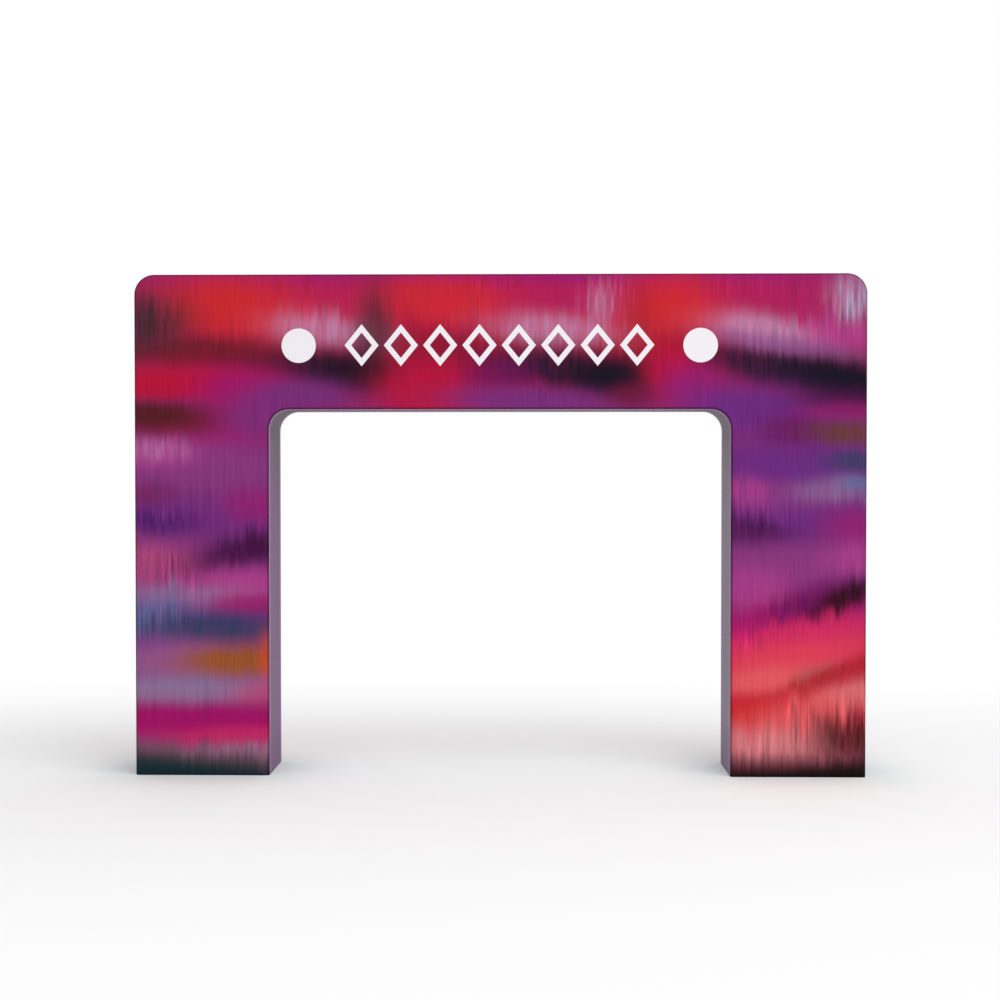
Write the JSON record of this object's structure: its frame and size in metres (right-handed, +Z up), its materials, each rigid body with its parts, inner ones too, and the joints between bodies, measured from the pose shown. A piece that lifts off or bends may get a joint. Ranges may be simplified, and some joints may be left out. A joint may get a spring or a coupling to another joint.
{
  "type": "printed cloth advertising arch over a tube frame",
  "caption": "Walk-through advertising arch: a printed stretch-cloth cover with rounded corners, pulled tight over a tube frame that stands on flat base plates.",
  "frame": {"origin": "on the ground under the middle of the arch, midway between its front and back faces", "axes": "+X along the arch's width, +Y from its front face to its back face, +Z up"},
  "size_m": [4.37, 0.45, 3],
  "materials": {
    "printed_cloth": "matte knitted stretch polyester, printed with a streaked colour wash in red, magenta, purple and near-black",
    "plain_cloth": "matte knitted stretch polyester, plain grey-mauve",
    "tube": "mill finish round tube",
    "base_plate": "dark grey powder coat on steel"
  },
  "bodies": {
    "root": {"back_panel": "printed_cloth", "beam_far_left_back_rung": "tube", "beam_far_left_front_rung": "tube", "beam_far_left_inner_spacer": "tube", "beam_far_left_outer_spacer": "tube", "beam_far_right_back_rung": "tube", "beam_far_right_front_rung": "tube", "beam_far_right_inner_spacer": "tube", "beam_far_right_outer_spacer": "tube", "beam_left_back_rung": "tube", "beam_left_front_rung": "tube", "beam_left_inner_spacer": "tube", "beam_left_outer_spacer": "tube", "beam_right_back_rung": "tube", "beam_right_front_rung": "tube", "beam_right_inner_spacer": "tube", "beam_right_outer_spacer": "tube", "front_panel": "printed_cloth", "inner_back_left_bend": "tube", "inner_back_left_upright": "tube", "inner_back_rail": "tube", "inner_back_right_bend": "tube", "inner_back_right_upright": "tube", "inner_band": "plain_cloth", "inner_front_left_bend": "tube", "inner_front_left_upright": "tube", "inner_front_rail": "tube", "inner_front_right_bend": "tube", "inner_front_right_upright": "tube", "left_base_plate": "base_plate", "left_leg_high_back_rung": "tube", "left_leg_high_front_rung": "tube", "left_leg_high_inner_spacer": "tube", "left_leg_high_outer_spacer": "tube", "left_leg_low_back_rung": "tube", "left_leg_low_front_rung": "tube", "left_leg_low_inner_spacer": "tube", "left_leg_low_outer_spacer": "tube", "outer_back_left_bend": "tube", "outer_back_left_upright": "tube", "outer_back_rail": "tube", "outer_back_right_bend": "tube", "outer_back_right_upright": "tube", "outer_band": "plain_cloth", "outer_front_left_bend": "tube", "outer_front_left_upright": "tube", "outer_front_rail": "tube", "outer_front_right_bend": "tube", "outer_front_right_upright": "tube", "right_base_plate": "base_plate", "right_leg_high_back_rung": "tube", "right_leg_high_front_rung": "tube", "right_leg_high_inner_spacer": "tube", "right_leg_high_outer_spacer": "tube", "right_leg_low_back_rung": "tube", "right_leg_low_front_rung": "tube", "right_leg_low_inner_spacer": "tube", "right_leg_low_outer_spacer": "tube"}
  },
  "joints": []
}
